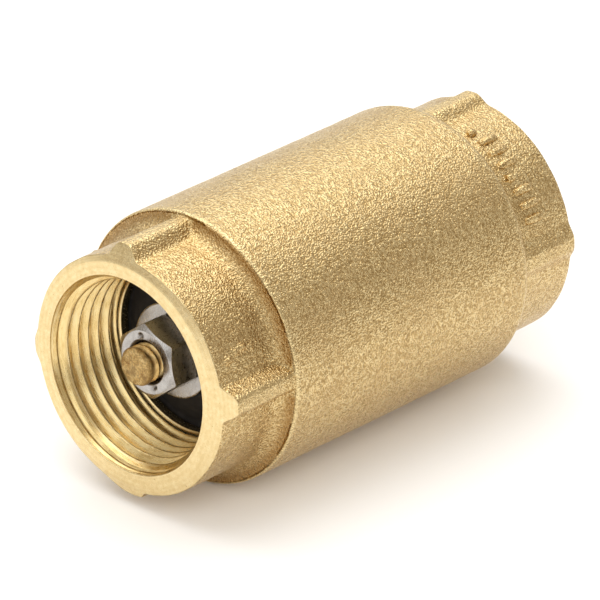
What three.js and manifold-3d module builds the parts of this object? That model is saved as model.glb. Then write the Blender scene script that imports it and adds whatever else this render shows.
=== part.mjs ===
// A 1 inch in-line spring check valve: a cast brass barrel with a ribbed wrench collar and a
// female pipe thread at each end, and a spring-loaded poppet on the flow axis inside.
// Millimetres, +Z up, lying on its side: water flows along +X and the origin is mid-length on the
// flow axis. Stations are measured from the inlet face along +X, and the group shifts them.
import * as THREE from "three";
import { mergeVertices } from "three/addons/utils/BufferGeometryUtils.js";
import Module from "manifold-3d";

const wasm = await Module();
wasm.setup();

// Overall casting
const valveLength = 82;
const barrelRadius = 22.75;
const collarRadius = 19.8;
const collarLength = 13.9;
const barrelEnd = 68.5;
const shoulderFillet = barrelRadius - collarRadius;
const farEdgeRadius = 1.5;
const castSides = 32;

// Wrench ribs, a quarter turn apart on each collar and uneven in height: their tip radii in order
// round the flow axis, from +Y towards +Z at the inlet and from -Y towards +Z at the outlet
const inletRibTips = [20.7, 22, 22.5, 20.8];
const outletRibTips = [20.9, 21.3, 20.8, 20.8];
const ribTurn = THREE.MathUtils.degToRad(-4);
const ribBaseHalf = 3.2;
const ribTopHalf = 1.1;
const ribRoot = 18.2;

// Machined end faces: flat out to faceRadius, then a shallow back taper over collar and ribs
const faceRadius = 18.7;
const faceTaper = THREE.MathUtils.degToRad(14);

// 1 inch taper pipe thread: 11.5 threads an inch, 1 in 16 taper on diameter
const pitch = 2.209;
const threadDepth = 1.2;
const minorRadius = 14.85;
const taperPerMm = 1 / 32;
const mouthRadius = 16.55;
const mouthDepth = 2.9;
const threadLength = 13.4;
const rowFractions = [0, 0.14, 0.5, 0.64];

// Seat and chambers
const portRadius = 14.05;
const seatLip = 15.2;
const seatLipRadius = 14.9;
const chamberFloor = 14.6;
const floorRadius = 16.4;
const chamberRadius = 19;
const chamberConeEnd = 17.5;
const pocketRadius = 20.3;
const pocketStart = 54;
const fit = 0.3;

// Poppet stack on the stem
const liftTravel = 7;
const stemRadius = 3.175;
const stemFront = 2.9;
const stemBack = 61;
const shankRadius = 4.9;
const shankStart = 21.3;
const holeRadius = stemRadius + fit;
const nutFront = 5.3;
const nutThickness = 5.5;
const nutAcrossFlats = 11.1;
const nutTurn = THREE.MathUtils.degToRad(-8);
const washerFront = 10.95;
const washerThickness = 1.6;
const washerRadius = 7.9;
const discFront = 12.7;
const discLand = seatLip + fit;
const discBack = 19;
const discRadius = 15.5;
const plateFront = 19.15;
const plateThickness = 2;
const plateRadius = 14.9;

// Guide and spring
const guideFront = pocketStart + fit;
const guideThickness = 2.9;
const hubFront = 50.5;
const hubBack = 60;
const hubRadius = 6.4;
const hubBore = 4.75;
const armWidth = 3.2;
const armCount = 3;
const guideRingInner = 17.4;
const bushRadius = hubBore - fit;
const bushBore = 3.45;
const bushFlange = 6.2;
const bushFront = 49.2;
const wireRadius = 0.6;
const springRadius = 6.3;
const springStart = 21.45;
const springEnd = 48.9;
const springTurns = 8;
const shankEnd = bushFront - fit - liftTravel;

// End cap spigot and its seal
const spigotRadius = pocketRadius - fit;
const spigotStart = 57.5;
const capStart = barrelEnd + fit;
const ringGrooveStart = 59;
const ringGrooveWidth = 2.8;
const ringSection = 1.0;
const ringGrooveRadius = 17.7;

const castBrass = { color: 0xd2b684, roughness: 0.5, metalness: 0.9 };
const turnedBrass = { color: 0xe0c480, roughness: 0.3, metalness: 1 };
const stainless = { color: 0xb9b6b0, roughness: 0.3, metalness: 1 };
const springSteel = { color: 0x9a9a9c, roughness: 0.35, metalness: 1 };
const nitrile = { color: 0x1c1a18, roughness: 0.75, metalness: 0 };
const acetal = { color: 0xe8e6df, roughness: 0.5, metalness: 0 };

// A closed geometry as a manifold solid, its shared vertices merged.
function solidOf(geometry) {
  const bare = geometry.clone();
  bare.deleteAttribute("normal");
  bare.deleteAttribute("uv");
  const merged = mergeVertices(bare, 1e-4);
  return new wasm.Manifold(
    new wasm.Mesh({
      numProp: 3,
      vertProperties: merged.attributes.position.array,
      triVerts: new Uint32Array(merged.index.array),
    }),
  );
}

function geometryOf(solid) {
  const mesh = solid.getMesh();
  const geometry = new THREE.BufferGeometry();
  geometry.setAttribute("position", new THREE.BufferAttribute(mesh.vertProperties, 3));
  geometry.setIndex(new THREE.BufferAttribute(mesh.triVerts, 1));
  geometry.computeVertexNormals();
  return geometry;
}

function join(solids) {
  return solids.reduce((sum, solid) => sum.add(solid));
}

// A body turned about the flow axis from [station, radius] points: the outside runs along +X
// and a bore, if there is one, comes back along -X to the first point. A flat faces straight down.
function turned(profile, sides = castSides) {
  const points = profile.map(([station, radius]) => new THREE.Vector2(radius, station));
  return new THREE.LatheGeometry(points, sides).rotateZ(-Math.PI / 2).rotateX(Math.PI / sides);
}

function ringProfile(start, end, outer, inner) {
  return [
    [start, inner],
    [start, outer],
    [end, outer],
    [end, inner],
    [start, inner],
  ];
}

function roundBar(start, end, radius, sides = castSides) {
  return turned([[start, 0], [start, radius], [end, radius], [end, 0]], sides);
}

// Points of a quarter circle about (station, radius), from one angle to another in degrees.
function arc(station, radius, size, from, to, steps = 4) {
  return Array.from({ length: steps + 1 }, (_, i) => {
    const angle = THREE.MathUtils.degToRad(from + ((to - from) * i) / steps);
    return [station + size * Math.cos(angle), radius + size * Math.sin(angle)];
  });
}

// One wrench rib: a bar along the collar with its top corners cut off, standing out at an angle.
function rib(start, end, tip, angle) {
  const outline = new THREE.Shape();
  outline.moveTo(-ribBaseHalf, ribRoot);
  outline.lineTo(ribBaseHalf, ribRoot);
  outline.lineTo(ribBaseHalf, collarRadius);
  outline.lineTo(ribTopHalf + 0.8, tip - 0.6);
  outline.lineTo(ribTopHalf, tip);
  outline.lineTo(-ribTopHalf, tip);
  outline.lineTo(-ribTopHalf - 0.8, tip - 0.6);
  outline.lineTo(-ribBaseHalf, collarRadius);
  const bar = new THREE.ExtrudeGeometry(outline, { depth: end - start, bevelEnabled: false });
  return bar.rotateY(Math.PI / 2).translate(start, 0, 0).rotateX(angle);
}

function ribs(start, end, tips, turn) {
  return join(tips.map((tip, i) => solidOf(rib(start, end, tip, turn + (i * Math.PI) / 2))));
}

// The space in front of an inlet face at station 0, with the back taper round its rim.
function faceCutter() {
  const reach = 30;
  const back = (reach - faceRadius) * Math.tan(faceTaper);
  return solidOf(turned([[-5, 0], [-5, reach], [back, reach], [0, faceRadius], [0, 0]], 64));
}

// The tapered helical core that cuts a female pipe thread from a mouth at station 0. Each row of
// vertices follows the right-hand helix, and the row a turn further on closes the sheet.
function threadCore() {
  const rows = rowFractions.length;
  const turns = Math.ceil(threadLength / pitch) + 1;
  const rowTotal = rows * turns;
  const positions = [];
  const faces = [];
  const start = -pitch;
  for (let row = 0; row <= rowTotal + rows; row++) {
    const along = Math.floor(row / rows) + rowFractions[row % rows];
    const groove = row % rows >= 2 ? threadDepth : 0;
    for (let side = 0; side < castSides; side++) {
      const station = start + (along + side / castSides) * pitch;
      const radius = minorRadius - station * taperPerMm + groove;
      const angle = (2 * Math.PI * side) / castSides;
      positions.push(station, radius * Math.cos(angle), radius * Math.sin(angle));
    }
  }
  const at = (row, side) => (side < castSides ? row * castSides + side : (row + rows) * castSides);
  for (let row = 0; row < rowTotal; row++) {
    for (let side = 0; side < castSides; side++) {
      const [a, b] = [at(row, side), at(row, side + 1)];
      const [c, d] = [at(row + 1, side + 1), at(row + 1, side)];
      faces.push(a, b, c, a, c, d);
    }
  }
  const caps = [
    [0, start - pitch, false],
    [rowTotal, start + (turns + 2) * pitch, true],
  ];
  for (const [row, station, flip] of caps) {
    const tip = positions.length / 3;
    positions.push(station, 0, 0);
    const edge = Array.from({ length: castSides + 1 }, (_, side) => at(row, side));
    for (let step = rows - 1; step > 0; step--) edge.push(at(row + step, 0));
    edge.forEach((vertex, i) => {
      const next = edge[(i + 1) % edge.length];
      faces.push(...(flip ? [tip, vertex, next] : [tip, next, vertex]));
    });
  }
  const geometry = new THREE.BufferGeometry();
  geometry.setAttribute("position", new THREE.Float32BufferAttribute(positions, 3));
  geometry.setIndex(faces);
  return solidOf(geometry);
}

// Everything machined into a collar from its mouth: taper thread, countersink and port.
function mouthCutter(portEnd) {
  const thread = threadCore().trimByPlane([-1, 0, 0], -threadLength);
  const sink = turned([[-3, 0], [-3, mouthRadius], [0, mouthRadius],
    [mouthDepth, minorRadius], [mouthDepth, 0]], 48);
  const port = roundBar(-3, portEnd, portRadius, 48);
  return join([thread, solidOf(sink), solidOf(port)]);
}

// Barrel and inlet collar in one casting, bored out from the outlet end for the guide and cap.
function inletBody() {
  const shoulder = collarLength - shoulderFillet;
  const outside = turned([
    [0, 0],
    [0, collarRadius],
    ...arc(shoulder, barrelRadius, shoulderFillet, 270, 360),
    ...arc(barrelEnd - farEdgeRadius, barrelRadius - farEdgeRadius, farEdgeRadius, 90, 0, 3),
    [barrelEnd, 0],
  ]);
  const chamber = turned([
    [seatLip, 0],
    [seatLip, seatLipRadius],
    [chamberFloor, seatLipRadius],
    [chamberFloor, floorRadius],
    [chamberConeEnd, chamberRadius],
    [pocketStart, chamberRadius],
    [pocketStart, pocketRadius],
    [barrelEnd + 1, pocketRadius],
    [barrelEnd + 1, 0],
  ]);
  return solidOf(outside)
    .add(ribs(0, collarLength + 1, inletRibTips, ribTurn))
    .subtract(faceCutter())
    .subtract(mouthCutter(seatLip + 1))
    .subtract(solidOf(chamber));
}

// The outlet collar with its spigot, built as an inlet and turned end for end.
function outletCap() {
  const toSpigot = valveLength - capStart;
  const toEnd = valveLength - spigotStart;
  const toGroove = valveLength - ringGrooveStart;
  const outside = turned([
    [0, 0],
    [0, collarRadius],
    [toSpigot, collarRadius],
    [toSpigot, spigotRadius],
    [toGroove - ringGrooveWidth, spigotRadius],
    [toGroove - ringGrooveWidth, ringGrooveRadius],
    [toGroove, ringGrooveRadius],
    [toGroove, spigotRadius],
    [toEnd, spigotRadius],
    [toEnd, 0],
  ]);
  const flare = turned([[toEnd - 3.5, 0], [toEnd - 3.5, portRadius - 0.5],
    [toEnd + 1, portRadius + 2.4], [toEnd + 1, 0]]);
  return solidOf(outside)
    .add(ribs(0, toSpigot, outletRibTips, -ribTurn))
    .subtract(faceCutter())
    .subtract(mouthCutter(toEnd + 1))
    .subtract(solidOf(flare));
}

function capSealRing() {
  const station = ringGrooveStart + ringGrooveWidth / 2;
  const ring = new THREE.TorusGeometry(spigotRadius - ringSection - 0.1, ringSection, 8, castSides);
  return ring.rotateY(Math.PI / 2).translate(station, 0, 0);
}

// Spider that carries the stem: an outer ring, three arms and a hub.
function stemGuide() {
  const guideBack = guideFront + guideThickness;
  const ring = turned(ringProfile(guideFront, guideBack, spigotRadius, guideRingInner));
  const hub = turned(ringProfile(hubFront, hubBack, hubRadius, hubBore));
  const arm = (index) => {
    const inner = hubBore + 0.8;
    const outer = guideRingInner + 1;
    const bar = new THREE.BoxGeometry(guideThickness, outer - inner, armWidth);
    bar.translate(guideFront + guideThickness / 2, (outer + inner) / 2, 0);
    return solidOf(bar.rotateX((index * 2 * Math.PI) / armCount + Math.PI / 2));
  };
  const arms = Array.from({ length: armCount }, (_, index) => arm(index));
  return join([solidOf(ring), solidOf(hub), ...arms]);
}

function guideBushing() {
  return turned([
    [bushFront, bushBore],
    [bushFront, bushFlange],
    [hubFront - fit, bushFlange],
    [hubFront - fit, bushRadius],
    [hubBack, bushRadius],
    [hubBack, bushBore],
    [bushFront, bushBore],
  ], 24);
}

// Turned stem: threaded nose, thick shank that stops on the bushing, and the guided tail.
function poppetStem() {
  return turned([
    [stemFront, 0],
    [stemFront, stemRadius - 0.5],
    [stemFront + 0.5, stemRadius],
    [shankStart, stemRadius],
    [shankStart, shankRadius],
    [shankEnd, shankRadius],
    [shankEnd, stemRadius - 0.05],
    [stemBack - 0.8, stemRadius - 0.05],
    [stemBack, stemRadius - 0.9],
    [stemBack, 0],
  ], 24);
}

function backingPlate() {
  return turned(ringProfile(plateFront, plateFront + plateThickness, plateRadius, holeRadius));
}

// Moulded seal: a flat nose under the washer, a cone, and the land that meets the seat.
function sealDisc() {
  return turned([
    [discFront, holeRadius],
    [discFront, washerRadius + 0.4],
    [discLand, portRadius - 0.75],
    [discLand, discRadius],
    [discBack, discRadius],
    [discBack, holeRadius],
    [discFront, holeRadius],
  ]);
}

function sealWasher() {
  const back = washerFront + washerThickness;
  return turned(ringProfile(washerFront, back, washerRadius, holeRadius), 24);
}

// Hexagon nut, its corners turned off at 30 degrees on the front face.
function stemNut() {
  const corner = nutAcrossFlats / Math.sqrt(3);
  const flat = nutAcrossFlats / 2;
  const drop = (corner - flat + 0.3) * Math.tan(Math.PI / 6);
  const back = nutFront + nutThickness;
  const hexagon = new THREE.CylinderGeometry(corner, corner, nutThickness, 6);
  hexagon.rotateZ(-Math.PI / 2).translate(nutFront + nutThickness / 2, 0, 0).rotateX(nutTurn);
  const envelope = turned([[nutFront, 0], [nutFront, flat - 0.3], [nutFront + drop, corner],
    [back, corner], [back, 0]], 24);
  const bore = roundBar(nutFront - 1, back + 1, holeRadius, 24);
  return solidOf(hexagon).intersect(solidOf(envelope)).subtract(solidOf(bore));
}

class SpringPath extends THREE.Curve {
  getPoint(share, target = new THREE.Vector3()) {
    const angle = share * springTurns * 2 * Math.PI;
    const first = springStart + wireRadius;
    const station = first + share * (springEnd - springStart - 2 * wireRadius);
    return target.set(station, springRadius * Math.cos(angle), springRadius * Math.sin(angle));
  }
}

function returnSpring() {
  const wire = new THREE.Shape().absarc(0, 0, wireRadius, 0, 2 * Math.PI, false);
  const path = new SpringPath();
  return new THREE.ExtrudeGeometry(wire, {
    steps: springTurns * 12,
    curveSegments: 3,
    bevelEnabled: false,
    extrudePath: path,
  });
}

const group = new THREE.Group();
group.position.x = -valveLength / 2;

function addPiece(name, shape, finish) {
  const geometry = shape.isBufferGeometry ? shape : geometryOf(shape);
  const mesh = new THREE.Mesh(geometry, new THREE.MeshStandardMaterial(finish));
  mesh.name = name;
  group.add(mesh);
  return mesh;
}

addPiece("inlet_body", inletBody(), castBrass);
const cap = addPiece("outlet_cap", outletCap(), castBrass);
cap.rotation.z = Math.PI;
cap.position.x = valveLength;
addPiece("cap_seal_ring", capSealRing(), nitrile);
addPiece("stem_guide", stemGuide(), turnedBrass);
addPiece("guide_bushing", guideBushing(), acetal);
addPiece("poppet_stem", poppetStem(), turnedBrass);
addPiece("backing_plate", backingPlate(), turnedBrass);
addPiece("seal_disc", sealDisc(), nitrile);
addPiece("seal_washer", sealWasher(), stainless);
addPiece("stem_nut", stemNut(), stainless);
addPiece("return_spring", returnSpring(), springSteel);

export default group;
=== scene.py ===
import bmesh
import bpy
import numpy as np
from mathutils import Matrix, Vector


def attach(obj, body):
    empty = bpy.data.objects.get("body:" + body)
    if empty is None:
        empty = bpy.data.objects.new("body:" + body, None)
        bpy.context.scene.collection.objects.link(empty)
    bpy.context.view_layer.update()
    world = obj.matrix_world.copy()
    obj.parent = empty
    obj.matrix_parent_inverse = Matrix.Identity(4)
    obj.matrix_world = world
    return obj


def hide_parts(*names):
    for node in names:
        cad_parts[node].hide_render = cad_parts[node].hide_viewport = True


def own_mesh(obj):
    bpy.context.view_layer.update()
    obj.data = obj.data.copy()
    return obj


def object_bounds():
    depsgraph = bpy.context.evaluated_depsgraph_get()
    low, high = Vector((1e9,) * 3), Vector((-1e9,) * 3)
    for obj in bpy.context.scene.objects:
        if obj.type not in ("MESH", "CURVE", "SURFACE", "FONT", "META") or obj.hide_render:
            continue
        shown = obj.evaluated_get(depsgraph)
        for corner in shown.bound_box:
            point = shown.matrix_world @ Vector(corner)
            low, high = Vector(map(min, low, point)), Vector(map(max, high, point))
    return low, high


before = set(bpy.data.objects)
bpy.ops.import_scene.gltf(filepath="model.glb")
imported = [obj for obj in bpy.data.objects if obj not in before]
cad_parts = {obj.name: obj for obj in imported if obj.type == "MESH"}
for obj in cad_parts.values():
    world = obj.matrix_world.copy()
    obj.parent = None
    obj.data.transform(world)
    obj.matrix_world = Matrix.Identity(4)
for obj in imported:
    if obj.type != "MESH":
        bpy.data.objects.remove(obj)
cadLow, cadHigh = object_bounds()
print("frame loaded:", len(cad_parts), "nodes")

# Lengths are in millimetres and stations run from the inlet face along the flow, until place() turns them
# into metres in the frame's own axes. Angles run from +Y towards +Z.
mm = 0.001
inletX = cadLow.x
fullLength = (cadHigh.x - cadLow.x) / mm
turn = 2 * np.pi


def smooth(value, low, high):
    # 0 below low, 1 above high, and 3t^2 - 2t^3 between
    part = np.clip((value - low) / (high - low), 0, 1)
    return part * part * (3 - 2 * part)


latticeSide = 24  # cells before the lattice of random heights repeats


def lumps(x, y, z, size, seed):
    # random heights from -1 to 1: values on a lattice of the given size, blended with smooth weights
    lattice = np.random.default_rng(seed).uniform(-1, 1, [latticeSide] * 3)
    spot = np.stack(np.broadcast_arrays(x, y, z)) / size + 1000.0
    cell = np.floor(spot).astype(int)
    part = smooth(spot - cell, 0, 1)
    total = 0
    for corner in np.ndindex(2, 2, 2):
        near = [part[k] if corner[k] else 1 - part[k] for k in range(3)]
        index = tuple((cell[k] + corner[k]) % latticeSide for k in range(3))
        total = total + near[0] * near[1] * near[2] * lattice[index]
    return total


cornerMade = {"points": 6, "mostOfSide": 0.3, "lead": 1.5}


def softProfile(corners, reach, closed=True, steps=cornerMade["points"]):
    # a line of [station, radius] corners, each one cut back by reach and bridged with a quadratic curve:
    # (1-t)^2 start + 2t(1-t) corner + t^2 end. A lead point on each side keeps the flats flat
    point = np.array(corners, float)
    before, after = np.roll(point, 1, 0) - point, np.roll(point, -1, 0) - point
    if not closed:
        before[0], after[-1] = after[0], before[-1]
    lengths = [np.linalg.norm(d, axis=1, keepdims=True) for d in (before, after)]
    reach = np.broadcast_to(np.reshape(reach, (-1, 1)), lengths[0].shape)
    reach = np.minimum(reach, cornerMade["mostOfSide"] * np.minimum(*lengths))
    start = point + before / lengths[0] * reach
    end = point + after / lengths[1] * reach
    t = np.linspace(0, 1, steps)[None, :, None]
    curve = (1 - t) ** 2 * start[:, None] + 2 * t * (1 - t) * point[:, None] + t**2 * end[:, None]
    lead = point + before / lengths[0] * reach * cornerMade["lead"]
    tail = point + after / lengths[1] * reach * cornerMade["lead"]
    rows = np.concatenate([lead[:, None], curve, tail[:, None]], 1)
    if closed:
        return rows.reshape(-1, 2)
    return np.concatenate([point[:1], rows[1:-1].reshape(-1, 2), point[-1:]])


def around(count):
    # one row of angles, evenly spaced round the flow axis
    return np.arange(count)[None, :] * turn / count


def lathe(profile, angle):
    # every [station, radius] of the profile swung right round the flow axis
    profile = np.asarray(profile, float)
    return polar(profile[:, :1], profile[:, 1:], angle)


def polar(station, radius, angle, shiftY=0.0, shiftZ=0.0):
    # station along X, and radius at an angle in the YZ plane, about an axis that may be shifted
    x, y, z = np.broadcast_arrays(station, radius * np.cos(angle) + shiftY, radius * np.sin(angle) + shiftZ)
    return np.stack([x, y, z], -1)


def place(points):
    # millimetres times 0.001, with station 0 at the inlet face
    return points * mm + np.array([inletX, 0, 0])


lean = {"bushing": 50.0, "y": 0.75, "z": 0.2}


def leaned(skin):
    # the poppet rests a little to one side in its guide: the offset falls in a straight line from its nose
    # to nothing at the bushing
    share = np.clip(1 - skin["points"][..., :1] / lean["bushing"], 0, None)
    return dict(skin, points=skin["points"] + share * np.array([0, lean["y"], lean["z"]]))


def quads(rows, cols, first, closed):
    # the four corners of each cell of a grid whose columns always wrap and whose rows wrap when closed
    row = np.arange(rows if closed else rows - 1)[:, None]
    col = np.arange(cols)[None, :]
    down = (row + 1) % rows
    across = (col + 1) % cols
    corners = [row * cols + col, row * cols + across, down * cols + across, down * cols + col]
    return np.stack(corners, -1).reshape(-1, 4) + first


def makePiece(name, body, finishes, skins, node):
    # the grids of all skins become one mesh, which rides on the body and stands for the node. A skin is a
    # dictionary: points (rows, columns, xyz in mm), closed, finish index by row, and marks by name
    verts = []
    faces = []
    picks = []
    marks = {"rub": [], "grime": []}
    count = 0
    for skin in skins:
        points = skin["points"]
        rows, cols = points.shape[:2]
        closed = skin.get("closed", True)
        faces.append(quads(rows, cols, count, closed))
        pick = np.broadcast_to(np.asarray(skin.get("pick", 0)), (rows,))[: rows if closed else rows - 1]
        picks.append(np.repeat(pick, cols))
        for key, values in marks.items():
            values.append(np.broadcast_to(skin.get(key, 0.0), (rows, cols)).ravel())
        verts.append(place(points).reshape(-1, 3))
        count += rows * cols
    mesh = bpy.data.meshes.new(name)
    mesh.from_pydata(np.concatenate(verts), [], np.concatenate(faces))
    for key, values in marks.items():
        layer = mesh.attributes.new(key, "FLOAT", "POINT")
        layer.data.foreach_set("value", np.concatenate(values).astype(np.float32))
    for finish in finishes:
        mesh.materials.append(finish)
    mesh.polygons.foreach_set("material_index", np.concatenate(picks).astype(np.int32))
    mesh.polygons.foreach_set("use_smooth", np.ones(len(mesh.polygons), bool))
    mesh.validate()
    mesh.update()
    piece = bpy.data.objects.new(name, mesh)
    bpy.context.scene.collection.objects.link(piece)
    closePoles(mesh)
    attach(piece, body)
    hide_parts(node)
    return piece


def closePoles(mesh):
    # rows that lie on the axis become one vertex
    sheet = bmesh.new()
    sheet.from_mesh(mesh)
    bmesh.ops.remove_doubles(sheet, verts=sheet.verts, dist=1e-7)
    sheet.to_mesh(mesh)
    sheet.free()


class Wire:
    # one socket of a node tree; sums, products and the like of wires add their Math nodes
    def __init__(self, tree, socket=None):
        self.tree = tree
        self.socket = socket

    def node(self, kind, settings, inputs, out=0):
        # any node: its type, its settings, and a value or a wire for each socket
        made = self.tree.nodes.new("ShaderNode" + kind)
        for name, value in settings.items():
            if name == "stops":
                self.setStops(made.color_ramp, value)
            else:
                setattr(made, name, value)
        for name, value in inputs.items():
            if isinstance(value, Wire):
                self.tree.links.new(value.socket, made.inputs[name])
            else:
                made.inputs[name].default_value = value
        return Wire(self.tree, made.outputs[out] if made.outputs else None)

    def setStops(self, ramp, stops):
        # a ramp starts with two stops, of which the first is kept and moved
        while len(ramp.elements) > 1:
            ramp.elements.remove(ramp.elements[-1])
        ramp.elements[0].position = stops[0][0]
        ramp.elements[0].color = (*stops[0][1], 1)
        for spot, colour in stops[1:]:
            ramp.elements.new(spot).color = (*colour, 1)

    def calc(self, operation, *values):
        return self.node("Math", {"operation": operation}, dict(enumerate(values)))

    def __add__(self, other):
        return self.calc("ADD", self, other)

    def __sub__(self, other):
        return self.calc("SUBTRACT", self, other)

    def __rsub__(self, other):
        return self.calc("SUBTRACT", other, self)

    def __mul__(self, other):
        return self.calc("MULTIPLY", self, other)

    __radd__ = __add__
    __rmul__ = __mul__

    def sine(self):
        return self.calc("SINE", self)

    def distance(self, other):
        # the square root of both squares' sum
        return self.calc("SQRT", self * self + other * other)

    def between(self, low, high):
        # 0 below low, 1 above high, smooth between
        ends = {"From Min": low, "From Max": high}
        return self.node("MapRange", {"interpolation_type": "SMOOTHSTEP"}, {"Value": self, **ends})

    def ramp(self, stops):
        return self.node("ValToRGB", {"stops": stops}, {"Fac": self})

    def mixed(self, first, second):
        # from the first colour to the second, with this wire as the factor
        first, second = [(*c, 1) if isinstance(c, tuple) else c for c in (first, second)]
        return self.node("Mix", {"data_type": "RGBA"}, {0: self, 6: first, 7: second}, out=2)

    def mark(self, name):
        # a mark stored on the mesh, such as rub for wear, or the mark of painted shade and some grime
        return self.node("Attribute", {"attribute_name": name}, {}, out="Fac")

    def inMillimetres(self):
        where = self.node("TexCoord", {}, {}, out="Object")
        return self.node("VectorMath", {"operation": "SCALE"}, {0: where, "Scale": 1 / mm})

    def stretched(self, x, y, z):
        return self.node("VectorMath", {"operation": "MULTIPLY"}, {0: self, 1: (x, y, z)})

    def noise(self, scale, detail=3.0, rough=0.55):
        inputs = {"Vector": self, "Scale": scale, "Detail": detail, "Roughness": rough}
        return self.node("TexNoise", {}, inputs)

    def cells(self, scale):
        # distance to the nearest of scattered points, with soft borders
        return self.node("TexVoronoi", {"feature": "SMOOTH_F1"}, {"Vector": self, "Scale": scale})

    def axes(self):
        # a vector's x, y and z
        parts = self.node("SeparateXYZ", {}, {0: self}).socket.node
        return [Wire(self.tree, socket) for socket in parts.outputs]


def finish(name, paint):
    # a new material whose Principled shader takes what paint returns for a fresh wire
    material = bpy.data.materials.new(name)
    material.use_nodes = True
    tree = material.node_tree
    tree.nodes.clear()
    shader = Wire(tree).node("BsdfPrincipled", {}, paint(Wire(tree)))
    Wire(tree).node("OutputMaterial", {}, {"Surface": shader})
    return material


def bumped(wire, height, depth):
    # depth is the height's full swing in millimetres
    return wire.node("Bump", {}, {"Height": height, "Distance": depth * mm, "Strength": 1.0})


castLook = {
    "grain": 3.6,  # grains to a millimetre
    "grainDepth": 0.25,
    "pit": (0.49, 0.33, 0.135),
    "flank": (0.70, 0.505, 0.23),
    "crown": (0.85, 0.665, 0.35),
    "blotch": (0.62, 0.43, 0.2),
    # colour of the painted shade in the fillet's crease
    "grime": (0.40, 0.225, 0.075),
    "rubbed": (0.93, 0.76, 0.42),
    "rough": 0.2,
}


def paintCast(wire):
    # sand grain and shot dimples: pits dark and dull, crowns pale and brighter, over slow blotches
    spot = wire.inMillimetres()
    grain = spot.noise(castLook["grain"], 0.8, 0.4)
    coarse = spot.noise(castLook["grain"] * 0.4, 0.0, 0.5)
    dimple = spot.cells(castLook["grain"] * 0.8)
    slow = spot.noise(0.16, 3.0, 0.6)
    relief = grain * 0.8 + coarse * 0.3 + dimple * 0.25
    tone = (grain * 0.75 + coarse * 0.25).between(0.38, 0.62)
    colour = tone.ramp([(0.0, castLook["pit"]), (0.42, castLook["flank"]), (1.0, castLook["crown"])])
    colour = (slow.between(0.42, 0.68) * 0.32).mixed(colour, castLook["blotch"])
    # painted shade: the mark darkens the crease of the fillet between collar and barrel
    colour = (wire.mark("grime") * 0.85).mixed(colour, castLook["grime"])
    colour = (wire.mark("rub") * 0.75).mixed(colour, castLook["rubbed"])
    rough = castLook["rough"] + 0.08 * slow + 0.12 * (1 - tone) - wire.mark("rub") * 0.05
    return {
        "Base Color": colour,
        "Metallic": 1.0,
        "Roughness": rough,
        "Normal": bumped(wire, relief, castLook["grainDepth"]),
    }


machinedLook = {
    "fine": 31.0,  # radians of groove to a millimetre
    "broad": 7.3,
    "tones": [(0.0, (0.77, 0.585, 0.29)), (0.5, (0.86, 0.675, 0.355)), (1.0, (0.94, 0.78, 0.455))],
    "nick": (0.5, 0.34, 0.14),
    # colour of the painted shade where the thread's root mark reaches cut faces
    "grime": (0.33, 0.2, 0.07),
    "rough": 0.19,
    "depth": 0.012,
}


def paintMachined(wire):
    # rings cut by a tool: a sine of the distance from the axis and along it, broken up by noise, and nicks
    spot = wire.inMillimetres()
    x, y, z = spot.axes()
    out = y.distance(z) + 0.05 * spot.noise(0.5) + x * 0.9
    groove = (out * machinedLook["fine"]).sine() * 0.5 + 0.5
    broad = (out * machinedLook["broad"]).sine() * 0.5 + 0.5
    scuff = spot.stretched(0.5, 1.0, 1.0).noise(1.1, 5.0, 0.6)
    nick = spot.noise(4.5, 2.0, 0.5).between(0.66, 0.74)
    tone = (scuff * 0.8 + groove * 0.12 + broad * 0.08).between(0.25, 0.75)
    colour = (nick * 0.5).mixed(tone.ramp(machinedLook["tones"]), machinedLook["nick"])
    # painted shade from the thread's root mark
    colour = (wire.mark("grime") * 0.9).mixed(colour, machinedLook["grime"])
    rough = machinedLook["rough"] + 0.12 * scuff + 0.12 * nick + 0.2 * wire.mark("grime")
    relief = groove * 0.5 + broad * 0.12 + scuff * 0.5 - nick * 0.6
    return {
        "Base Color": colour,
        "Metallic": 1.0,
        "Roughness": rough,
        "Normal": bumped(wire, relief, machinedLook["depth"]),
    }


threadLook = {
    "tones": [(0.0, (0.74, 0.53, 0.215)), (0.5, (0.92, 0.705, 0.33)), (1.0, (0.98, 0.81, 0.44))],
    # colour of the painted shade in the thread's roots
    "grime": (0.34, 0.2, 0.07),
    "rubbed": (0.95, 0.8, 0.48),
    "rough": 0.2,
    "depth": 0.03,
}


def paintThread(wire):
    # cut thread: chatter lines that run with the thread, painted shade in the roots, bright rubbed crests
    spot = wire.inMillimetres()
    chatter = spot.stretched(6.0, 0.5, 0.5).noise(1.0, 4.0, 0.6)
    tarnish = spot.noise(0.35, 3.0, 0.6)
    tone = (chatter * 0.6 + tarnish * 0.4).between(0.3, 0.7)
    # painted shade: the mark darkens the thread's roots
    colour = (wire.mark("grime") * 0.35).mixed(tone.ramp(threadLook["tones"]), threadLook["grime"])
    colour = (wire.mark("rub") * 0.7).mixed(colour, threadLook["rubbed"])
    rough = threadLook["rough"] + 0.16 * chatter + 0.2 * wire.mark("grime")
    return {
        "Base Color": colour,
        "Metallic": 1.0,
        "Roughness": rough,
        "Normal": bumped(wire, chatter, threadLook["depth"]),
    }


turnedLook = {
    "tones": [(0.0, (0.42, 0.25, 0.085)), (0.5, (0.7, 0.48, 0.19)), (1.0, (0.88, 0.68, 0.34))],
    # colour of the painted shade in the thread's roots, and of dark smudges on the peened end
    "grime": (0.16, 0.09, 0.04),
    "torn": (0.36, 0.22, 0.085),
    "rough": 0.2,
    "depth": 0.3,
}


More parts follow.
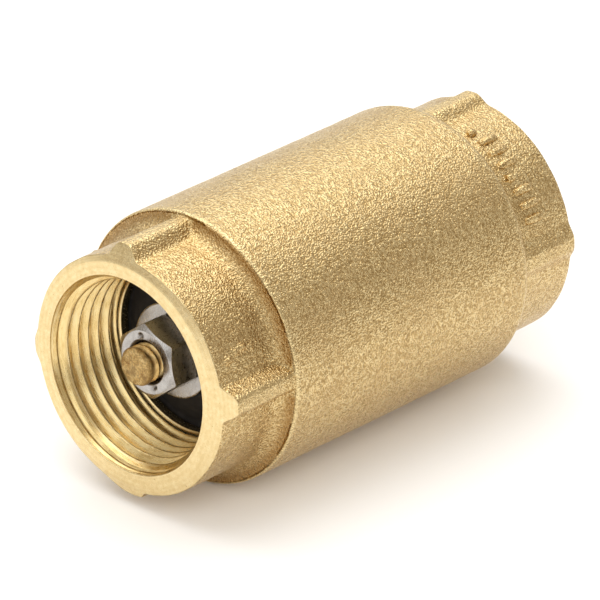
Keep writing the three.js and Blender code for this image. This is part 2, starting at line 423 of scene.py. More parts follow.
def paintTurned(wire):
    # turned brass rod: tool lines across the axis, brown stains, torn metal where rub is marked, and
    # painted shade in the thread's roots
    spot = wire.inMillimetres()
    lines = spot.stretched(9.0, 0.6, 0.6).noise(1.0, 3.0, 0.6)
    stain = spot.noise(0.7, 4.0, 0.65)
    tone = (lines * 0.45 + stain * 0.55).between(0.32, 0.66)
    colour = (wire.mark("grime") * 0.9).mixed(tone.ramp(turnedLook["tones"]), turnedLook["grime"])
    torn = spot.noise(3.4, 3.0, 0.65)
    colour = (wire.mark("rub") * (1 - torn.between(0.42, 0.58)) * 0.7).mixed(colour, turnedLook["torn"])
    relief = lines * 0.14 + torn * wire.mark("rub")
    return {
        "Base Color": colour,
        "Metallic": 1.0,
        "Roughness": turnedLook["rough"] + 0.18 * stain + 0.2 * wire.mark("grime"),
        "Normal": bumped(wire, relief, turnedLook["depth"]),
    }


stainlessLook = {
    "tones": [(0.0, (0.34, 0.315, 0.29)), (0.5, (0.47, 0.45, 0.43)), (1.0, (0.6, 0.585, 0.56))],
    # colour of the painted shade in the nut's bore and punch pits
    "grime": (0.13, 0.1, 0.075),
    "rough": 0.17,
    "depth": 0.006,
}


def paintStainless(wire):
    # bright stainless: two ways of fine scratches over slow clouds, and painted shade in the bore and punch
    # pits
    spot = wire.inMillimetres()
    scratch = spot.stretched(2.0, 7.0, 0.8).noise(1.3, 4.0, 0.6)
    cross = spot.stretched(1.0, 0.9, 8.0).noise(1.1, 3.0, 0.6)
    cloud = spot.noise(0.5, 3.0, 0.6)
    tone = (scratch * 0.35 + cross * 0.25 + cloud * 0.4).between(0.3, 0.7)
    colour = (wire.mark("grime") * 0.85).mixed(tone.ramp(stainlessLook["tones"]), stainlessLook["grime"])
    return {
        "Base Color": colour,
        "Metallic": 1.0,
        "Roughness": stainlessLook["rough"] + 0.18 * scratch + 0.25 * wire.mark("grime"),
        "Normal": bumped(wire, scratch + cross, stainlessLook["depth"]),
    }


springLook = {
    "tones": [(0.0, (0.33, 0.31, 0.29)), (1.0, (0.66, 0.64, 0.61))],
    "rough": 0.24,
    "depth": 0.012,
}


def paintSpring(wire):
    # drawn wire: streaks that follow the coil and a faint brown cast
    spot = wire.inMillimetres()
    streak = spot.stretched(7.0, 1.2, 1.2).noise(1.4, 3.0, 0.55)
    return {
        "Base Color": streak.between(0.3, 0.7).ramp(springLook["tones"]),
        "Metallic": 1.0,
        "Roughness": springLook["rough"] + 0.16 * streak,
        "Normal": bumped(wire, streak, springLook["depth"]),
    }


nitrileLook = {
    "tones": [(0.0, (0.010, 0.008, 0.007)), (1.0, (0.034, 0.029, 0.025))],
    "rough": 0.62,
    "depth": 0.02,
}


def paintNitrile(wire):
    # matt moulded rubber: a dusty bloom over fine grit
    spot = wire.inMillimetres()
    bloom = spot.noise(0.8, 4.0, 0.65)
    grit = spot.noise(6.0, 3.0, 0.6)
    tone = (bloom * 0.7 + grit * 0.3).between(0.35, 0.7)
    return {
        "Base Color": tone.ramp(nitrileLook["tones"]),
        "Metallic": 0.0,
        "Roughness": nitrileLook["rough"] + 0.2 * bloom,
        "Normal": bumped(wire, grit, nitrileLook["depth"]),
    }


acetalLook = {
    "tones": [(0.0, (0.62, 0.6, 0.54)), (1.0, (0.83, 0.82, 0.77))],
    "rough": 0.38,
    "depth": 0.015,
}


def paintAcetal(wire):
    # milky plastic: soft turning marks over slow clouds
    spot = wire.inMillimetres()
    rings = spot.stretched(5.0, 0.6, 0.6).noise(1.0, 3.0, 0.5)
    cloud = spot.noise(0.6, 3.0, 0.6)
    tone = (cloud * 0.6 + rings * 0.4).between(0.3, 0.7)
    return {
        "Base Color": tone.ramp(acetalLook["tones"]),
        "Metallic": 0.0,
        "Roughness": acetalLook["rough"] + 0.14 * cloud,
        "Normal": bumped(wire, rings, acetalLook["depth"]),
    }


castBrass = finish("castBrass", paintCast)
machinedBrass = finish("machinedBrass", paintMachined)
threadBrass = finish("threadBrass", paintThread)
turnedBrass = finish("turnedBrass", paintTurned)
stainless = finish("stainless", paintStainless)
springSteel = finish("springSteel", paintSpring)
nitrile = finish("nitrile", paintNitrile)
acetal = finish("acetal", paintAcetal)
print("finishes made")


casting = {
    "barrel": 22.75,
    "collar": 19.8,
    "collarEnd": 13.9,
    "barrelStart": 15.0,
    "barrelEnd": 68.5,
    "capStart": 68.8,
    "farRound": 1.5,
    "rim": [(13.86, 22.4), (13.93, 22.58), (14.06, 22.7), (14.25, 22.75), (14.5, 22.76)],
    "rimRub": [[0.1], [0.5], [0.9], [0.6], [0.2]],
    "shiftY": -0.71,  # the sand core sat a little off the middle
    "shiftZ": 0.23,
    "ribTurn": np.radians(-4),
    "ribs": (0.9, 2.2, 2.7, 1.0),  # how far each stands out at the inlet, from +Y round towards +Z
    "farRibs": (1.0, 1.5, 1.1, 1.0),
    "ribBase": 3.35,
    "ribTop": 0.75,
    "ribSkew": ((1.0, 1.0), (1.0, 1.0), (1.0, 1.0), (0.42, 1.9)),  # how fast each falls, ahead and behind
    "face": 18.7,
    "taper": np.tan(np.radians(14)),
    "bodyColumns": 360,
    "crowding": 0.25,  # share by which they stand closer at the ribs, and wider between them
    "capColumns": 448,
    "barrelRows": 50,
    "wander": ((0.10, 6.0, 3), (0.05, 2.2, 4)),  # height, size and seed of the collar's unevenness
    "barrelWander": ((0.05, 7.0, 5), (0.028, 2.4, 6)),
}
socket = {
    "mouth": 16.53,
    "sinkSlope": np.tan(np.radians(30)),
    "minor": 14.95,
    "slope": 1 / 32,
    "depth": 1.3,
    "pitch": 2.209,
    "threadEnd": 13.4,
    "start": 0.15,  # turns by which the thread's first groove is ahead of the +Y side
    "rowsToPitch": 17,
    "flat": [(0, 18.66), (0, 18.5), (0, 18.0), (0, 17.2), (0, 16.8), (0, 16.62)],
    "edge": [(0.012, 16.56), (0.05, 16.5), (0.1, 16.43)],
    "port": [(13.55, 14.12), (13.62, 14.06), (13.8, 14.05)],
}


def ribHeight(angle, lifts):
    # four ridges a quarter turn apart, each a smooth step down on both sides of its middle; the distance
    # from the middle is scaled by the side's own factor
    quarter = turn / 4
    away = angle - casting["ribTurn"] + quarter / 2
    number = np.floor(away / quarter).astype(int) % 4
    side = (away % quarter - quarter / 2) * casting["collar"]
    ahead, behind = np.array(casting["ribSkew"])[number].transpose(2, 0, 1)
    side = np.where(side > 0, side * ahead, -side * behind)
    return np.array(lifts)[number] * (1 - smooth(side, casting["ribTop"], casting["ribBase"]))


# station, degrees round, size along, size round and height of the mould's small faults on the inlet collar
faults = [
    (3.2, 157.5, 0.8, 0.42, 0.7),
    (5.0, 155.5, 0.55, 0.4, 0.5),
    (6.6, 154.5, 0.8, 0.42, 0.66),
    (8.4, 156.0, 0.55, 0.4, 0.3),
    (4.9, 192.0, 0.35, 0.7, -0.32),
    (6.0, 189.5, 0.3, 0.55, -0.24),
    (4.4, 210.5, 0.4, 0.6, -0.3),
    (7.3, 201.0, 0.3, 0.4, -0.2),
    (9.0, 118.0, 0.5, 0.5, -0.16),
    (5.2, 52.0, 0.6, 0.4, 0.2),
    (8.5, 300.0, 0.5, 0.6, -0.22),
]


def faultHeight(station, angle):
    # each fault is a Gaussian bump or pit: height times e to the minus squared distance in its own sizes
    total = 0
    for middle, degrees, along, across, height in faults:
        side = ((angle - np.radians(degrees) + np.pi) % turn - np.pi) * casting["collar"]
        total = total + height * np.exp(-(((station - middle) / along) ** 2) - (side / across) ** 2)
    return total


def collarOutline(station, angle, lifts=casting["ribs"]):
    # collar radius plus its ribs, the slow and fine unevenness of a sand mould, and its faults
    y = casting["collar"] * np.cos(angle)
    z = casting["collar"] * np.sin(angle)
    slow, fine = casting["wander"]
    wander = slow[0] * lumps(station * 0.4, y, z, *slow[1:]) + fine[0] * lumps(station, y, z, *fine[1:])
    return casting["collar"] + ribHeight(angle, lifts) + wander + faultHeight(station, angle)


def fromBore(outline, angle):
    # a point of the cast outline, which is off centre, as distance from the bore's axis and angle round it
    y = outline * np.cos(angle) + casting["shiftY"]
    z = outline * np.sin(angle) + casting["shiftZ"]
    return np.hypot(y, z), np.arctan2(z, y)


def taperBack(outline, angle):
    # how far the turned back-taper has cut in at the outline: the outline's distance from the bore's axis
    # less the flat's radius, times the taper
    reach, _ = fromBore(outline, angle)
    return np.maximum(reach - casting["face"], 0) * casting["taper"]


def minorRadius(depth):
    # the thread's inner radius, less the pipe thread's slope times depth
    return socket["minor"] - depth * socket["slope"]


def sinkRadius(depth):
    # the countersink's cone: the mouth's radius less its slope times depth
    return socket["mouth"] - depth * socket["sinkSlope"]


def threadRadius(depth, angle):
    # minor radius that falls with depth, a 60 degree groove by the phase of the helix, faded at the runout
    phase = np.abs((depth / socket["pitch"] - angle / turn - socket["start"]) % 1.0 - 0.5) * 2
    groove = np.clip((0.92 - phase) / 0.88, 0, 1)
    fade = 1 - smooth(depth, socket["threadEnd"] - 1.3, socket["threadEnd"] - 0.1)
    minor, sink = minorRadius(depth), sinkRadius(depth)
    burr = 0.05 * np.exp(-(((phase - 0.9) / 0.06) ** 2)) * (1 - smooth(depth, 2.6, 3.6))
    return np.maximum(minor + groove * fade * socket["depth"] - burr, sink), groove * fade


def mouthRows(angle):
    # rows from the flat's outer edge inwards: flat, countersink and thread, back to the plain port, with
    # depth measured in from the face. The finish is cut brass, or thread where the helix runs
    before = np.array(socket["flat"] + socket["edge"])[:, :, None] + 0 * angle
    after = np.array(socket["port"])[:, :, None] + 0 * angle
    count = int(socket["rowsToPitch"] * (socket["threadEnd"] - 0.1) / socket["pitch"])
    depth = np.linspace(0.16, socket["threadEnd"], count)[:, None] + 0 * angle
    radius, groove = threadRadius(depth, angle)
    radius[-1] = np.minimum(radius[-1], minorRadius(socket["threadEnd"]))
    station = np.concatenate([before[:, 0], depth, after[:, 0]])
    reach = np.concatenate([before[:, 1], radius, after[:, 1]])
    pick = np.array([1] * len(before) + [2] * count + [1] * len(after))
    crest = 1 - smooth(groove, 0.0, 0.08)
    crest[:2] = 0
    # painted shade: root darkens the thread's roots and the edge where the countersink meets the crests
    sinkEdge = np.exp(-(((sinkRadius(depth) - minorRadius(depth)) / 0.06) ** 2))
    root = smooth(groove, 0.9, 1.0) + 0.9 * sinkEdge
    crest, root = [np.concatenate([0 * before[:, 0], mark, 0 * after[:, 0]]) for mark in (crest, root)]
    return station, reach, pick, crest, root


def skinRows(angle, start):
    # the collar's cast side: stations from the taper's edge to the foot of the fillet, closer at the edge
    share = np.concatenate([[0.0, 0.012, 0.03, 0.06, 0.1], np.linspace(0.14, 1, 44)])[:, None]
    end = casting["collarEnd"] - (casting["barrel"] - casting["collar"])
    station = start + (end - start) * share
    return station, collarOutline(station, angle) - 0.07 * (1 - smooth(share, 0.0, 0.03))


def stacked(blocks):
    # blocks are (points, finish index or one for each row, rub, painted shade and grime) and come back as
    # one skin
    cols = blocks[0][0].shape[1]
    rows = [b[0].shape[0] for b in blocks]
    wide = [[np.broadcast_to(b[k], (n, cols)) for b, n in zip(blocks, rows)] for k in (2, 3)]
    return {
        "points": np.concatenate([b[0] for b in blocks]),
        "pick": np.concatenate([np.broadcast_to(b[1], (n,)) for b, n in zip(blocks, rows)]),
        "rub": np.concatenate(wide[0]),
        "grime": np.concatenate(wide[1]),
    }


def taperRows(angle, outline):
    # between the flat's circle and the cast outline, straight lines in the turned cone
    reach, swing = fromBore(outline, angle)
    share = np.array([0.02, 0.12, 0.35, 0.6, 0.85, 0.96])[:, None]
    bend = (swing - angle + np.pi) % turn - np.pi
    radius = casting["face"] + (reach - casting["face"]) * share
    return (radius - casting["face"]) * casting["taper"], radius, angle + bend * share


pocket = {
    "lip": [(68.5, 20.6), (68.5, 20.42), (68.44, 20.34)],
    "corners": [
        (68.5, 20.3),
        (54, 20.3),
        (54, 19),
        (17.5, 19),
        (14.6, 16.4),
        (14.6, 14.9),
        (15.2, 14.9),
        (15.2, 14.05),
    ],
    "reach": [0.3, 0.2, 0.3, 1.0, 0.5, 0.15, 0.12, 0.15],
    "steps": 3,
    "foot": [(15.06, 14.05)],
}
filletSweep = (8, 18, 28, 38, 48, 58, 68, 77, 84)  # degrees round the fillet at each of its rows


def castBody():
    # one closed skin: taper, collar, fillet, rim, barrel, end, then inside the pocket, chamber, seat, port,
    # thread, countersink and flat. The fillet is a quarter circle blended with the ribs that run into it:
    # half of their sum plus the root of their difference squared and a softness squared. The columns are
    # even angles less a wave of four to the turn, which is steepest at the ribs
    even = around(casting["bodyColumns"])
    angle = even - casting["crowding"] / 4 * np.sin(4 * (even - casting["ribTurn"]))
    shift = casting["shiftY"], casting["shiftZ"]
    edge = taperBack(collarOutline(0.5 + 0 * angle, angle), angle)
    tStation, tRadius, tAngle = taperRows(angle, collarOutline(edge, angle))
    sStation, sRadius = skinRows(angle, edge)
    fillet = casting["barrel"] - casting["collar"]
    sweep = np.radians(np.array(filletSweep))[:, None]
    fStation = casting["collarEnd"] - fillet + fillet * np.sin(sweep) + 0 * angle
    lift = collarOutline(fStation, angle) - casting["collar"]
    bowl = fillet * (1 - np.cos(sweep))
    ribs = ribHeight(angle, casting["ribs"])
    soft = 0.16 * ribs
    fRadius = casting["collar"] + 0.5 * (lift + bowl + np.sqrt((lift - bowl) ** 2 + soft**2))
    fRadius = np.minimum(fRadius, casting["barrel"] - 0.22)
    wobble = 0.05 * lumps(20 * np.cos(angle), 20 * np.sin(angle), 0, 5.0, 8)
    rim = np.array(casting["rim"])
    rStation = rim[:, :1] + wobble
    rRadius = rim[:, 1:] + 0 * angle
    bStation = np.linspace(casting["barrelStart"], 66.6, casting["barrelRows"])[:, None] + 0 * angle
    y = casting["barrel"] * np.cos(angle)
    z = casting["barrel"] * np.sin(angle)
    slow, fine = [height * lumps(bStation, y, z, *look) for height, *look in casting["barrelWander"]]
    bRadius = casting["barrel"] + slow + fine
    bend = np.radians(np.linspace(90, 0, 8))[:, None]
    far = casting["farRound"]
    eStation = casting["barrelEnd"] - far + far * np.cos(bend) + 0 * angle
    eRadius = casting["barrel"] - far + far * np.sin(bend) + 0 * angle
    inside = softProfile(pocket["corners"], pocket["reach"], False, pocket["steps"])
    inside = np.vstack([pocket["lip"], inside[1:-1], pocket["foot"]])
    mStation, mRadius, mPick, crest, root = mouthRows(angle)
    # painted shade in the fillet: darkest in its half next to the barrel, fading where the ribs run in
    filletShade = smooth(casting["collar"] + bowl, 20.2, 21.6) * (1 - smooth(ribs, 0.4, 1.4))
    ridge = smooth(ribs, 1.6, 2.3)
    blocks = [
        (polar(tStation, tRadius, tAngle), 1, 0, 0),
        (polar(sStation, sRadius, angle, *shift), 0, ridge * 0.25, 0),
        (polar(fStation, fRadius, angle, *shift), 0, 0, 0.85 * filletShade),
        (polar(rStation, rRadius, angle, *shift), 0, np.array(casting["rimRub"]), 0),
        (polar(bStation, bRadius, angle, *shift), 0, 0, 0),
        (polar(eStation, eRadius, angle, *shift), 0, 0.2, 0),
        (lathe(inside, angle), 1, 0, 0),
        (polar(mStation, mRadius, angle)[::-1], mPick[::-1], crest[::-1], root[::-1]),
    ]
    return stacked(blocks)


def softCosine(angle, power):
    # the cosine with its size raised to a power and its sign kept, which squares a circle off
    return np.sign(np.cos(angle)) * np.abs(np.cos(angle)) ** power


def softSine(angle, power):
    # the sine, squared off in the same way
    return np.sign(np.sin(angle)) * np.abs(np.sin(angle)) ** power


tally = {
    "first": 158,  # degrees round, then the step from bar to bar
    "step": -7.2,
    "count": 8,
    "start": 71.9,
    "length": 4.4,
    "shortLength": 4.4 * 0.4,  # every fourth bar
    "width": 1.5,
    "lift": 0.72,
    "sink": 0.25,  # how far the foot goes into the collar
    "rings": (0, 0.35, 0.62, 0.82, 0.94, 1.0),
}


def tallyBar(angle, length):
    # a raised bar with round ends lying along the collar: its height is 1 minus the fourth power of the
    # share from its middle to its edge, and the edge is a circle squared off
    swing = np.linspace(0, turn, 24, endpoint=False)[None, :]
    share = np.array(tally["rings"])[:, None]
    station = tally["start"] + length / 2 + share * softCosine(swing, 2 / 3) * length / 2
    across = share * softSine(swing, 2 / 3) * tally["width"] / 2
    height = casting["collar"] + tally["lift"] * (1 - share**4) - tally["sink"] * (share > 0.99)
    swung = angle + across / casting["collar"]
    return polar(station, height, swung, casting["shiftY"], casting["shiftZ"])[:, ::-1]


spigot = {
    "corners": [
        (61.0, 14.05),
        (57.5, 16.4),
        (57.5, 20.0),
        (59.0, 20.0),
        (59.0, 17.7),
        (61.8, 17.7),
        (61.8, 20.2),
        (68.8, 20.2),
        (68.8, 20.0),
    ],
    "reach": [0.4, 0.3, 0.4, 0.12, 0.15, 0.15, 0.12, 0.05, 0.05],
}


def castCap():
    # the outlet collar: the inlet end's rows at full length minus station, and a spigot that enters the
    # barrel
    angle = around(casting["capColumns"])
    shift = casting["shiftY"], casting["shiftZ"]
    lifts = casting["farRibs"]
    edge = taperBack(collarOutline(fullLength - 0.5 + 0 * angle, angle, lifts), angle)
    tStation, tRadius, tAngle = taperRows(angle, collarOutline(fullLength - edge, angle, lifts))
    share = np.concatenate([np.linspace(0, 0.86, 22), [0.9, 0.94, 0.97, 0.988, 1.0]])[:, None]
    foot = casting["capStart"] + 0.12
    sStation = foot + (fullLength - edge - foot) * share
    ends = 0.07 * smooth(share, 0.97, 1.0) + 0.12 * (1 - smooth(share, 0, 0.04))
    sRadius = collarOutline(sStation, angle, lifts) - ends
    entering = softProfile(spigot["corners"], spigot["reach"], closed=False)[:-1]
    mStation, mRadius, mPick, crest, root = mouthRows(np.pi - angle)
    blocks = [
        (lathe(entering, angle), 1, 0, 0),
        (polar(sStation, sRadius, angle, *shift), 0, smooth(ribHeight(angle, lifts), 0.8, 1.4) * 0.25, 0),
        (polar(fullLength - tStation, tRadius, tAngle)[::-1], 1, 0, 0),
        (polar(fullLength - mStation, mRadius, angle), mPick, crest, root),
    ]
    return stacked(blocks)


castFinishes = [castBrass, machinedBrass, threadBrass]
body = makePiece("castBody", "housing", castFinishes, [castBody()], "inlet_body")
bars = []
for k in range(tally["count"]):
    length = tally["shortLength"] if k % 4 == 3 else tally["length"]
    angle = np.radians(tally["first"] + k * tally["step"])
    bars.append({"points": tallyBar(angle, length), "closed": False})
cap = makePiece("castCap", "housing", castFinishes, [castCap(), *bars], "outlet_cap")
print("castings made:", len(body.data.polygons), len(cap.data.polygons))


stemMade = {
    "tip": 2.6,
    "endRadii": (0, 0.3, 0.6, 0.9, 1.2, 1.5, 1.8, 2.1, 2.4, 2.65, 2.85, 3.0, 3.1, 3.17, 3.2, 3.18),
    "endDrop": (0, 0, 0, 0, 0, 0.01, 0.02, 0.04, 0.07, 0.12, 0.2, 0.3, 0.42, 0.58, 0.78, 1.0),
    "thread": 1.27,
    "deep": 0.62,
    "radius": 3.175,
    "columns": 144,
    "shank": [
        (12.6, 3.175),
        (21.3, 3.175),
        (21.3, 4.9),
        (41.9, 4.9),
        (41.9, 3.12),
        (60.2, 3.12),
        (61.0, 2.3),
        (61.0, 0),
    ],
    "reach": [0.1, 0.2, 0.35, 0.35, 0.25, 0.3, 0.25, 0],
}


def stemSkin():
    # turned rod: a peened end that drops towards its edge and is uneven both ways, then a fine thread whose
    # radius follows the helix's phase, a thick shank and a guided tail
    angle = around(stemMade["columns"])
    ends = np.array(stemMade["endRadii"])[:, None]
    drop = np.array(stemMade["endDrop"])[:, None]
    y = ends * np.cos(angle)
    z = ends * np.sin(angle)
    rough = 0.16 * lumps(0, y, z, 1.5, 11) + 0.09 * lumps(0, y, z, 0.7, 12)
    nose = stemMade["tip"] + drop + rough * np.minimum(ends / 0.4, 1)
    nicks = 0.02 * lumps(0, 3 * np.cos(angle), 3 * np.sin(angle), 1.6, 13)
    ragged = ends * (1 + 0.018 * np.sin(2 * angle + 1) + nicks)
    smudge = 0.15 * (ends > 2.9) + smooth(lumps(0, y, z, 1.1, 14), 0.25, 0.8) * 0.5
    length = np.linspace(3.75, 12.4, 124)[:, None] + 0 * angle
    phase = np.abs((length / stemMade["thread"] - angle / turn) % 1.0 - 0.5) * 2
    radius = stemMade["radius"] - stemMade["deep"] * np.clip((phase - 0.14) / 0.72, 0, 1)
    shank = softProfile(stemMade["shank"], stemMade["reach"], closed=False)
    blocks = [
        (polar(nose, ragged, angle), 0, 1.0, smudge),
        # painted shade in the thread's roots
        (polar(length, radius, angle), 0, 0, smooth(phase, 0.5, 0.95) * 0.9),
        (lathe(shank, angle), 0, 0, 0),
    ]
    return dict(stacked(blocks), closed=False)


def plainSkin(corners, reach, columns=160):
    # a turned ring: its section's corners softened and swung round the axis
    return {"points": lathe(softProfile(corners, reach), around(columns))}


nutMade = {
    "front": 5.3,
    "thick": 5.5,
    "flat": 5.55,
    "corner": np.radians(22.3),
    "bore": 3.42,
    "sink": [(0.62, 3.42), (0.3, 3.55), (0.1, 3.72), (0.02, 3.82), (0, 3.9)],  # depth and radius
    # painted shade in the countersink, darkest deepest in the bore
    "sinkShade": [[1.0], [0.95], [0.6], [0.2], [0.05]],
    "faceStart": 3.95,
    "cone": np.tan(np.pi / 6),
    "punches": [(75.5, 4.35), (244.9, 4.1)],  # degrees round and distance out
    "punchDepth": 0.55,
    "punchSize": 0.4,
    "columns": 288,
}


def nutSkin():
    # hexagon: its radius is the flat's distance over the cosine from the flat's middle. A 30 degree cone
    # turned from both ends meets it in arcs, and each punch mark at the bore is a Gaussian pit
    angle = around(nutMade["columns"])
    sixth = turn / 6
    swing = (angle - nutMade["corner"]) % sixth - sixth / 2
    outline = np.minimum(nutMade["flat"] / np.cos(swing), nutMade["flat"] / np.cos(sixth / 2) - 0.1)
    circle = nutMade["flat"] * 0.95
    front = nutMade["front"]
    back = front + nutMade["thick"]
    sink = np.array(nutMade["sink"])
    share = np.linspace(0, 1, 12)[:, None]
    flatRadius = nutMade["faceStart"] + (circle - nutMade["faceStart"]) * share + 0 * angle
    y = flatRadius * np.cos(angle)
    z = flatRadius * np.sin(angle)
    dent = 0
    for degrees, reach in nutMade["punches"]:
        spot = np.radians(degrees)
        away = (y - reach * np.cos(spot)) ** 2 + (z - reach * np.sin(spot)) ** 2
        dent = dent + nutMade["punchDepth"] * np.exp(-away / nutMade["punchSize"] ** 2)
    conePart = np.array([0.03, 0.2, 0.4, 0.6, 0.8, 0.93, 0.98])[:, None]
    coneRadius = circle + (outline - circle) * conePart
    coneDrop = (coneRadius - circle) * nutMade["cone"]
    edgeDrop = (outline - circle) * nutMade["cone"]
    sideShare = np.array([0.0, 0.02, 0.05, 0.2, 0.5, 0.8, 0.95, 0.98, 1.0])[:, None]
    side = front + edgeDrop + 0.05 + (nutMade["thick"] - 2 * edgeDrop - 0.1) * sideShare
    inner = np.array([(back, nutMade["faceStart"]), (back - 0.05, 3.8), (back - 0.5, 3.45)])
    boreLine = np.linspace(back - 0.6, front + 0.75, 8)[:, None] + 0 * angle
    blocks = [
        (polar(front + sink[:, :1], sink[:, 1:], angle), 0, 0, np.array(nutMade["sinkShade"])),
        # painted shade in the punch pits
        (polar(front + dent, flatRadius, angle), 0, 0, np.clip(dent * 1.4, 0, 0.9)),
        (polar(front + coneDrop, coneRadius, angle), 0, 0, 0),
        # the hex sides a little darker all round
        (polar(side, outline + 0 * side, angle), 0, 0, 0.12),
        (polar(back - coneDrop, coneRadius, angle)[::-1], 0, 0, 0),
        # painted shade inside the bore
        (lathe(inner, angle), 0, 0, 0.6),
        (polar(boreLine, nutMade["bore"] + 0 * angle, angle), 0, 0, 1.0),
    ]
    return stacked(blocks)


makePiece("poppetStem", "poppet", [turnedBrass], [leaned(stemSkin())], "poppet_stem")
makePiece("stemNut", "poppet", [stainless], [leaned(nutSkin())], "stem_nut")

washerMade = {"section": [(10.95, 3.475), (10.95, 7.9), (12.55, 7.9), (12.55, 3.475)], "soft": 0.28}
washer = plainSkin(washerMade["section"], washerMade["soft"])
makePiece("sealWasher", "poppet", [stainless], [leaned(washer)], "seal_washer")

discMade = {
    "section": [(12.7, 3.475), (12.7, 8.3), (15.5, 13.3), (15.5, 15.5), (19, 15.5), (19, 3.475)],
    "soft": 0.4,
}
disc = plainSkin(discMade["section"], discMade["soft"])
makePiece("sealDisc", "poppet", [nitrile], [leaned(disc)], "seal_disc")

plateMade = {"section": [(19.15, 3.475), (19.15, 14.9), (21.15, 14.9), (21.15, 3.475)], "soft": 0.3}
plate = plainSkin(plateMade["section"], plateMade["soft"])
makePiece("backingPlate", "poppet", [turnedBrass], [leaned(plate)], "backing_plate")
print("poppet made")


guideMade = {
    "front": 54.3,
    "back": 57.2,
    "ring": 17.4,
    "outer": 20.0,
    "hub": 6.4,
    "hubStart": 50.5,
    "hubEnd": 60.0,
    "bore": 4.75,
    "arm": 3.2,
    "arms": 3,
}


def armSkin(middle):
    # a bar from hub to ring whose section is a circle squared off, and whose width grows near either end
    reach = np.linspace(guideMade["bore"] + 0.7, guideMade["ring"] + 1.0, 25)[:, None]
    swing = np.linspace(0, turn, 28, endpoint=False)[None, :]
    ends = 1 - smooth(reach, 6.2, 8.2) + smooth(reach, 15.8, 17.6)
    centre = (guideMade["front"] + guideMade["back"]) / 2
    thick = guideMade["back"] - guideMade["front"]
    station = centre + softCosine(swing, 0.6) * thick / 2 + 0 * reach
    across = softSine(swing, 0.6) * (guideMade["arm"] / 2 + 0.9 * ends)
    y = reach * np.cos(middle) - across * np.sin(middle)
    z = reach * np.sin(middle) + across * np.cos(middle)
    points = np.stack([station, y, z], -1)
    shut = points.mean(1, keepdims=True)[[0, -1]] + 0 * points[[0, -1]]
    return {"points": np.concatenate([shut[:1], points, shut[1:]]), "closed": False}


def collarSection(start, end, inner, outer):
    # the four corners of a plain ring's section
    return [(start, inner), (start, outer), (end, outer), (end, inner)]


ring = collarSection(guideMade["front"], guideMade["back"], guideMade["ring"], guideMade["outer"])
hub = collarSection(guideMade["hubStart"], guideMade["hubEnd"], guideMade["bore"], guideMade["hub"])
arms = [armSkin(k * turn / guideMade["arms"] + np.pi / 2) for k in range(guideMade["arms"])]
guideSkins = [plainSkin(ring, 0.3, 256), plainSkin(hub, 0.35), *arms]
makePiece("stemGuide", "housing", [turnedBrass], guideSkins, "stem_guide")

bushMade = {
    "section": [(49.2, 3.45), (49.2, 6.2), (50.2, 6.2), (50.2, 4.45), (60.0, 4.45), (60.0, 3.45)],
    "soft": 0.25,
}
bush = plainSkin(bushMade["section"], bushMade["soft"])
makePiece("guideBushing", "housing", [acetal], [bush], "guide_bushing")

sealRingMade = {"station": 60.4, "radius": 18.6, "section": 1.0, "columns": 192}


def ringSkin():
    # a torus: a small circle carried round a large one
    swing = np.linspace(0, turn, 28, endpoint=False)[::-1][:, None]
    station = sealRingMade["station"] + sealRingMade["section"] * np.cos(swing)
    radius = sealRingMade["radius"] + sealRingMade["section"] * np.sin(swing)
    return {"points": polar(station, radius, around(sealRingMade["columns"]))}


makePiece("capSealRing", "housing", [nitrile], [ringSkin()], "cap_seal_ring")

springMade = {"start": 21.45, "end": 48.9, "coil": 6.3, "wire": 0.6, "turns": 8.0, "travel": 7.0}


def springSkin():
    # round wire along a helix: the climb adds up a lead that is small over the first and last turn, and a
    # circle across the path is carried along it
    share = np.linspace(0, 1, int(springMade["turns"] * 56))
    lead = 0.22 + smooth(share, 0.04, 0.2) * (1 - smooth(share, 0.8, 0.96))
    climb = np.concatenate([[0], np.cumsum(lead[1:])]) / lead[1:].sum()
    length = springMade["end"] - springMade["start"] - 2 * springMade["wire"]
    station = springMade["start"] + springMade["wire"] + climb * length
    swing = share * springMade["turns"] * turn
    path = np.stack([station, springMade["coil"] * np.cos(swing), springMade["coil"] * np.sin(swing)], -1)
    ahead = np.gradient(path, axis=0)
    ahead /= np.linalg.norm(ahead, axis=1, keepdims=True)
    out = np.stack([0 * swing, np.cos(swing), np.sin(swing)], -1)
    side = np.cross(ahead, out)
    thick = springMade["wire"] * np.sqrt(np.clip(1 - (np.abs(share - 0.5) * 2) ** 400, 0, 1))
    section = np.linspace(0, turn, 16, endpoint=False)
    ring = out[:, None] * np.cos(section)[:, None] + side[:, None] * np.sin(section)[:, None]
    return {"points": path[:, None] + ring * thick[:, None, None], "closed": False}


coil = springSkin()
spring = makePiece("returnSpring", "housing", [springSteel], [coil], "return_spring")
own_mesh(spring)
print("guide and spring made")


floorMade = {
    "half": 6.0,  # metres, as is the gap below the barrel
    "gap": 0.00005,
    "paper": [(0.0, (0.86, 0.855, 0.845)), (1.0, (0.89, 0.885, 0.88))],
    "far": (0.17, 0.16, 0.15),
    "glow": 0.6,
}


def paintFloor(wire):
    # white paper, very slightly uneven, lit up to the horizon; what the brass mirrors of it darkens with
    # distance from the valve, on the sides away from the bright backdrop
    spot = wire.inMillimetres()
    cloud = spot.noise(0.01, 2.0, 0.5)
    colour = cloud.between(0.2, 0.8).ramp(floorMade["paper"])
    x, y, z = spot.axes()
    away = x.distance(y)
    side = (x * -0.7 + y * -0.7).between(-60.0, 40.0)
    colour = (away.between(190.0, 430.0) * side).mixed(colour, floorMade["far"])
    seen = wire.node("LightPath", {}, {}, out="Is Camera Ray")
    glow = seen * away.between(260.0, 900.0)
    return {
        "Base Color": seen.mixed(colour, (1.0, 1.0, 1.0)),
        "Roughness": 0.8,
        "Specular IOR Level": 0.1,
        "Emission Color": glow.mixed((0.0, 0.0, 0.0), (1.0, 1.0, 1.0)),
        "Emission Strength": floorMade["glow"],
    }


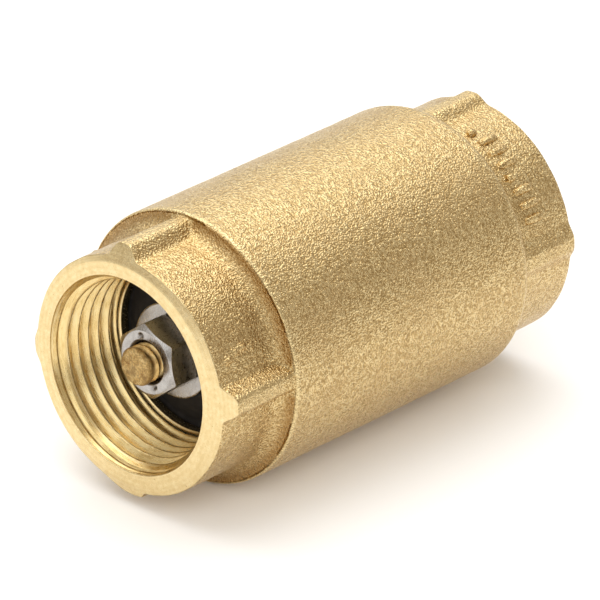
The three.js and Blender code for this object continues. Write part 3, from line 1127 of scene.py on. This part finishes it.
def floorPiece():
    # a flat square sheet just under the lowest point of the valve
    low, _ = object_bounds()
    half = floorMade["half"]
    z = low.z - floorMade["gap"]
    mesh = bpy.data.meshes.new("paperFloor")
    corners = [(-half, -half, z), (half, -half, z), (half, half, z), (-half, half, z)]
    mesh.from_pydata(corners, [], [(0, 1, 2, 3)])
    mesh.materials.append(finish("paper", paintFloor))
    made = bpy.data.objects.new("paperFloor", mesh)
    bpy.context.scene.collection.objects.link(made)


softboxes = {
    "overhead": {"spot": (0.07, 0.16, 0.62), "width": 0.95, "height": 0.85, "power": 3.8, "mirrored": True},
    "fill": {"spot": (-0.5, -0.65, 0.5), "width": 0.9, "height": 0.9, "power": 5.6, "mirrored": False},
}


def softbox(name, made):
    # a rectangle of light that faces the valve's middle
    lamp = bpy.data.lights.new(name, "AREA")
    lamp.shape = "RECTANGLE"
    lamp.size = made["width"]
    lamp.size_y = made["height"]
    lamp.energy = made["power"]
    box = bpy.data.objects.new(name, lamp)
    box.location = made["spot"]
    box.rotation_euler = (-Vector(made["spot"])).to_track_quat("-Z", "Y").to_euler()
    box.visible_glossy = made["mirrored"]
    bpy.context.scene.collection.objects.link(box)


skyMade = {
    "dim": 0.41,
    "behind": 0.4,
    "front": 0.9,
    "overhead": 0.08,
    "dimTint": (1.0, 0.9, 0.77),
    "brightTint": (1.0, 1.0, 0.99),
}


def studioSky():
    # a room that is bright behind and high up in front of the inlet, and dim elsewhere: the sum of its dim
    # level and of three smooth steps by direction. A camera ray sees plain white
    world = bpy.data.worlds.new("studio")
    bpy.context.scene.world = world
    world.use_nodes = True
    tree = world.node_tree
    tree.nodes.clear()
    wire = Wire(tree)
    x, y, z = wire.node("TexCoord", {}, {}, out="Generated").axes()
    behind = (x * 0.7 + y * 0.7).between(0.0, 0.9)
    front = (x * -1.0).between(0.6, 0.92) * z.between(0.06, 0.26)
    high = z.between(0.0, 0.8)
    bright = skyMade["behind"] * behind + skyMade["front"] * front + skyMade["overhead"] * high
    seen = wire.node("LightPath", {}, {}, out="Is Camera Ray")
    level = (skyMade["dim"] + bright) * (1 - seen) + seen
    tint = (bright * 2.0 + seen).between(0.0, 1.0).mixed(skyMade["dimTint"], skyMade["brightTint"])
    ground = wire.node("Background", {}, {"Color": tint, "Strength": level})
    wire.node("OutputWorld", {}, {"Surface": ground})


floorPiece()
studioSky()
for name, made in softboxes.items():
    softbox(name, made)

cameraMade = {
    "spot": (-0.777287, -0.721093, 0.507583),
    "aim": (-0.000961, 0.000234, -0.001135),
    "lens": 444.79,
    "sensor": 36,
    "nearest": 0.05,
    "farthest": 30,
}
lens = bpy.data.cameras.new("camera")
lens.lens = cameraMade["lens"]
lens.sensor_width = cameraMade["sensor"]
lens.clip_start = cameraMade["nearest"]
lens.clip_end = cameraMade["farthest"]
camera = bpy.data.objects.new("camera", lens)
camera.location = cameraMade["spot"]
camera.rotation_euler = (Vector(cameraMade["aim"]) - camera.location).to_track_quat("-Z", "Y").to_euler()
bpy.context.scene.collection.objects.link(camera)
bpy.context.scene.camera = camera
bpy.context.scene.view_settings.view_transform = "Standard"
print("stage set")
